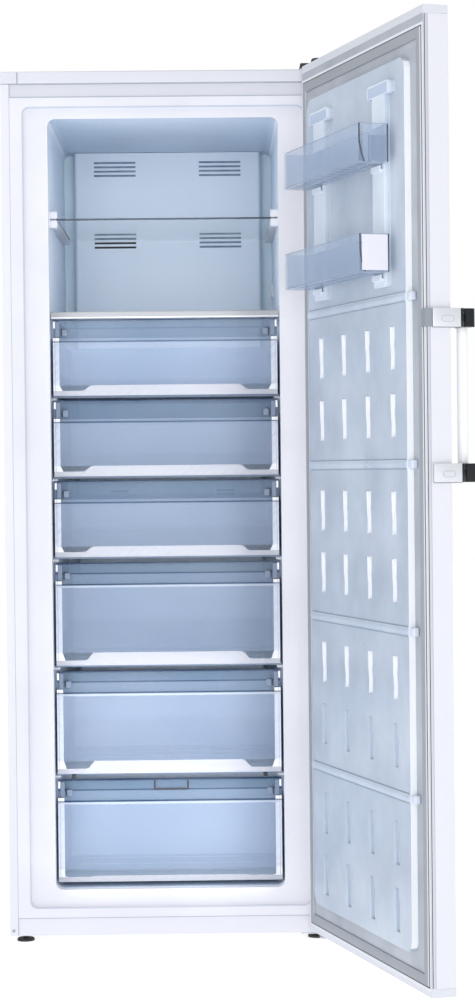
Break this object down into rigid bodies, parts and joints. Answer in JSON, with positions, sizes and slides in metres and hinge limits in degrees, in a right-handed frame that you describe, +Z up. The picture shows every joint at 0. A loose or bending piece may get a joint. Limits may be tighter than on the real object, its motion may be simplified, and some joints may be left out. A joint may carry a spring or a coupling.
{
  "type": "upright freezer",
  "caption": "Tall upright freezer with one side-hinged door, clear slide-out drawers, glass shelves and door baskets, standing open.",
  "frame": {"origin": "on the floor, under the centre of the cabinet's footprint", "axes": "+Z up, the open front faces -Y, +X to the right of someone standing in front of it"},
  "size_m": [0.9449, 1.3777, 1.905],
  "materials": {
    "white_steel": "gloss",
    "white_plastic": "satin",
    "liner_plastic": "gloss",
    "door_liner_plastic": "gloss",
    "foam": "matte",
    "gasket_rubber": "matte",
    "clear_plastic": "gloss",
    "frosted_plastic": "satin",
    "shelf_glass": "gloss",
    "trim_plastic": "satin",
    "zinc_steel": "satin",
    "bright_metal": "polished",
    "black_gloss": "gloss",
    "black_plastic": "matte",
    "grey_plastic": "satin",
    "aluminium_fins": "satin",
    "black_enamel": "gloss",
    "copper": "satin",
    "black_rubber": "matte",
    "board_green": "satin"
  },
  "bodies": {
    "cabinet": {"cabinet_shell": "white_steel", "top_cover": "white_plastic", "top_corner_cap": "white_plastic", "front_top_rail": "white_steel", "front_bottom_rail": "white_steel", "back_panel": "white_steel", "base_pan": "zinc_steel", "inner_liner": "liner_plastic", "insulation": "foam", "evaporator_cover": "liner_plastic", "evaporator": "aluminium_fins", "fan_motor": "black_plastic", "temperature_sensor": "white_plastic", "compressor": "black_enamel", "compressor_mounts": "black_rubber", "condenser": "copper", "drip_tray": "black_plastic", "compressor_cover": "zinc_steel", "control_board": "board_green", "roller_brackets": "zinc_steel", "top_hinge": "zinc_steel", "top_hinge_cover": "black_plastic", "bottom_hinge": "zinc_steel", "hinge_screws": "zinc_steel", "flange_plugs": "grey_plastic", "shelf_supports": "white_plastic", "plate_ledges": "liner_plastic", "fixed_shelf_trim": "trim_plastic", "drawer_plates": "shelf_glass"},
    "door": {"door_skin": "white_steel", "door_end_caps": "white_plastic", "door_bushes": "grey_plastic", "door_insulation": "foam", "door_liner": "door_liner_plastic", "door_gasket": "gasket_rubber", "handle_brackets": "bright_metal", "handle_plugs": "grey_plastic"},
    "handle_lever": {"handle_arms": "black_gloss", "handle_bar": "white_steel"},
    "handle_pusher": {"handle_pusher": "grey_plastic"},
    "door_basket_1": {"door_basket_1": "clear_plastic"},
    "door_basket_2": {"door_basket_2": "clear_plastic"},
    "drawer_1": {"drawer_tub_1": "frosted_plastic", "drawer_front_1": "clear_plastic"},
    "drawer_2": {"drawer_tub_2": "frosted_plastic", "drawer_front_2": "clear_plastic"},
    "drawer_3": {"drawer_tub_3": "frosted_plastic", "drawer_front_3": "clear_plastic"},
    "drawer_4": {"drawer_tub_4": "frosted_plastic", "drawer_front_4": "clear_plastic"},
    "drawer_5": {"drawer_tub_5": "frosted_plastic", "drawer_front_5": "clear_plastic"},
    "drawer_6": {"drawer_tub_6": "frosted_plastic", "drawer_front_6": "clear_plastic"},
    "upper_shelf": {"upper_shelf": "shelf_glass"},
    "fan_wheel": {"fan_wheel": "black_plastic"},
    "front_foot_left": {"front_foot_left": "black_plastic"},
    "rear_roller_left": {"rear_roller_left": "grey_plastic"},
    "front_foot_right": {"front_foot_right": "black_plastic"},
    "rear_roller_right": {"rear_roller_right": "grey_plastic"}
  },
  "joints": [
    {"name": "door_hinge", "type": "hinge", "parent": "cabinet", "child": "door", "pos_m": [0.335, -0.373, 0], "axis": [0, 0, 1], "range_deg": [-106.5, 13.5]},
    {"name": "drawer_1_slide", "type": "slide", "parent": "cabinet", "child": "drawer_1", "axis": [0, -1, 0], "range_m": [0, 0.36]},
    {"name": "drawer_2_slide", "type": "slide", "parent": "cabinet", "child": "drawer_2", "axis": [0, -1, 0], "range_m": [0, 0.36]},
    {"name": "drawer_3_slide", "type": "slide", "parent": "cabinet", "child": "drawer_3", "axis": [0, -1, 0], "range_m": [0, 0.36]},
    {"name": "drawer_4_slide", "type": "slide", "parent": "cabinet", "child": "drawer_4", "axis": [0, -1, 0], "range_m": [0, 0.36]},
    {"name": "drawer_5_slide", "type": "slide", "parent": "cabinet", "child": "drawer_5", "axis": [0, -1, 0], "range_m": [0, 0.36]},
    {"name": "drawer_6_slide", "type": "slide", "parent": "cabinet", "child": "drawer_6", "axis": [0, -1, 0], "range_m": [0, 0.24]},
    {"name": "upper_shelf_slide", "type": "slide", "parent": "cabinet", "child": "upper_shelf", "axis": [0, -1, 0], "range_m": [0, 0.3]},
    {"name": "basket_1_lift", "type": "slide", "parent": "door", "child": "door_basket_1", "axis": [0, 0, 1], "range_m": [0, 0.04]},
    {"name": "basket_2_lift", "type": "slide", "parent": "door", "child": "door_basket_2", "axis": [0, 0, 1], "range_m": [0, 0.04]},
    {"name": "handle_pull", "type": "hinge", "parent": "door", "child": "handle_lever", "pos_m": [0.56705, -1.01555, 1.159], "axis": [0, 0, -1], "range_deg": [0, 8], "stiffness_Nm_per_rad": 4},
    {"name": "pusher_slide", "type": "slide", "parent": "door", "child": "handle_pusher", "axis": [-0.9588, -0.284, 0], "range_m": [0, 0.0112]},
    {"name": "fan_spin", "type": "hinge", "parent": "cabinet", "child": "fan_wheel", "pos_m": [0, 0.241, 1.165], "axis": [0, 1, 0], "continuous": true},
    {"name": "left_foot_turn", "type": "hinge", "parent": "cabinet", "child": "front_foot_left", "pos_m": [-0.318, -0.298, 0], "axis": [0, 0, 1], "continuous": true},
    {"name": "left_roller_spin", "type": "hinge", "parent": "cabinet", "child": "rear_roller_left", "pos_m": [-0.3, 0.288, 0.012], "axis": [1, 0, 0], "continuous": true},
    {"name": "right_foot_turn", "type": "hinge", "parent": "cabinet", "child": "front_foot_right", "pos_m": [0.318, -0.298, 0], "axis": [0, 0, 1], "continuous": true},
    {"name": "right_roller_spin", "type": "hinge", "parent": "cabinet", "child": "rear_roller_right", "pos_m": [0.3, 0.288, 0.012], "axis": [1, 0, 0], "continuous": true}
  ],
  "couplings": [
    {"joint": "pusher_slide", "follows": "handle_pull", "m_per_rad": 0.07878}
  ]
}
